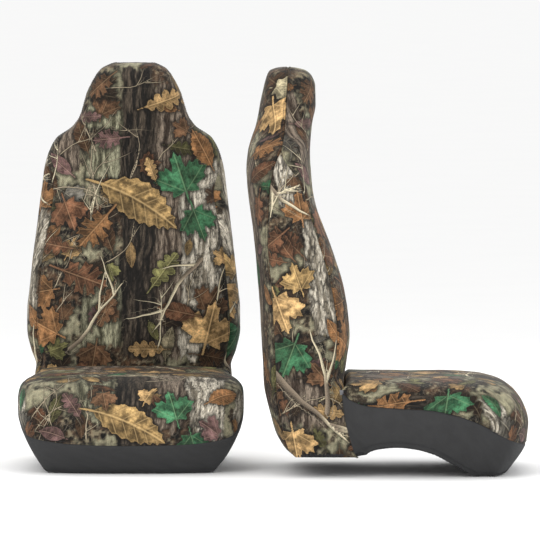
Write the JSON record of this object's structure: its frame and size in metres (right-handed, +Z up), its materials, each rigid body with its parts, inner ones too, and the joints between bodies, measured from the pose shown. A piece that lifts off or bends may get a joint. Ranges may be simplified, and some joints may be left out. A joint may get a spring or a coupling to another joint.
{
  "type": "seat cover set",
  "caption": "Pair of stretch-fit cloth covers for high-back bucket seats: woodland-printed back and seat, plain dark skirt with elastic hem and hooks, back that reclines.",
  "frame": {"origin": "middle of the open underside of the driver cover's seat section, at the height of its front hem, which is the lowest point of the set", "axes": "+Z up; the driver cover faces -Y; the passenger cover stands to its +X side and faces +X"},
  "size_m": [1.183, 0.7519, 0.934],
  "materials": {
    "printed_cloth": "matte woven cloth on thin foam, woodland print of bark, twigs and leaves",
    "charcoal_knit": "matte stretch knit, charcoal grey",
    "elastic": "black woven elastic",
    "hook_steel": "zinc-plated wire"
  },
  "bodies": {
    "driver_seat": {"driver_seat_top_panel": "printed_cloth", "driver_skirt": "charcoal_knit", "driver_skirt_hem_elastic": "elastic", "driver_front_hook_loops": "elastic"},
    "driver_back": {"driver_back_front_panel": "printed_cloth", "driver_back_rear_panel": "printed_cloth", "driver_gusset_left": "printed_cloth", "driver_gusset_right": "printed_cloth", "driver_back_hem_elastic": "elastic", "driver_rear_hook_loops": "elastic"},
    "driver_front_hook_left": {"driver_front_hook_left": "hook_steel"},
    "driver_front_hook_right": {"driver_front_hook_right": "hook_steel"},
    "driver_rear_hook_left": {"driver_rear_hook_left": "hook_steel"},
    "driver_rear_hook_right": {"driver_rear_hook_right": "hook_steel"},
    "passenger_seat": {"passenger_seat_top_panel": "printed_cloth", "passenger_skirt": "charcoal_knit", "passenger_skirt_hem_elastic": "elastic", "passenger_front_hook_loops": "elastic"},
    "passenger_back": {"passenger_back_front_panel": "printed_cloth", "passenger_back_rear_panel": "printed_cloth", "passenger_gusset_left": "printed_cloth", "passenger_gusset_right": "printed_cloth", "passenger_back_hem_elastic": "elastic", "passenger_rear_hook_loops": "elastic"},
    "passenger_front_hook_left": {"passenger_front_hook_left": "hook_steel"},
    "passenger_front_hook_right": {"passenger_front_hook_right": "hook_steel"},
    "passenger_rear_hook_left": {"passenger_rear_hook_left": "hook_steel"},
    "passenger_rear_hook_right": {"passenger_rear_hook_right": "hook_steel"}
  },
  "joints": [
    {"name": "driver_recline", "type": "hinge", "parent": "driver_seat", "child": "driver_back", "pos_m": [0, 0.29, 0.141], "axis": [-1, 0, 0], "range_deg": [0, 25]},
    {"name": "driver_front_hook_left_swing", "type": "hinge", "parent": "driver_seat", "child": "driver_front_hook_left", "pos_m": [-0.2455, -0.04, 0.1157], "axis": [0, -1, 0], "range_deg": [0, 60]},
    {"name": "driver_front_hook_right_swing", "type": "hinge", "parent": "driver_seat", "child": "driver_front_hook_right", "pos_m": [0.2455, -0.04, 0.1157], "axis": [0, 1, 0], "range_deg": [0, 60]},
    {"name": "driver_rear_hook_left_swing", "type": "hinge", "parent": "driver_back", "child": "driver_rear_hook_left", "pos_m": [-0.2195, 0.29, 0.1277], "axis": [0, -1, 0], "range_deg": [0, 60]},
    {"name": "driver_rear_hook_right_swing", "type": "hinge", "parent": "driver_back", "child": "driver_rear_hook_right", "pos_m": [0.2195, 0.29, 0.1277], "axis": [0, 1, 0], "range_deg": [0, 60]},
    {"name": "passenger_cover_slide", "type": "slide", "parent": "driver_seat", "child": "passenger_seat", "axis": [1, 0, 0], "range_m": [0, 0.4]},
    {"name": "passenger_recline", "type": "hinge", "parent": "passenger_seat", "child": "passenger_back", "pos_m": [0.408, -0.06, 0.141], "axis": [0, -1, 0], "range_deg": [0, 25]},
    {"name": "passenger_front_hook_left_swing", "type": "hinge", "parent": "passenger_seat", "child": "passenger_front_hook_left", "pos_m": [0.738, -0.3055, 0.1157], "axis": [1, 0, 0], "range_deg": [0, 60]},
    {"name": "passenger_front_hook_right_swing", "type": "hinge", "parent": "passenger_seat", "child": "passenger_front_hook_right", "pos_m": [0.738, 0.1855, 0.1157], "axis": [-1, 0, 0], "range_deg": [0, 60]},
    {"name": "passenger_rear_hook_left_swing", "type": "hinge", "parent": "passenger_back", "child": "passenger_rear_hook_left", "pos_m": [0.408, -0.2795, 0.1277], "axis": [1, 0, 0], "range_deg": [0, 60]},
    {"name": "passenger_rear_hook_right_swing", "type": "hinge", "parent": "passenger_back", "child": "passenger_rear_hook_right", "pos_m": [0.408, 0.1595, 0.1277], "axis": [-1, 0, 0], "range_deg": [0, 60]}
  ]
}
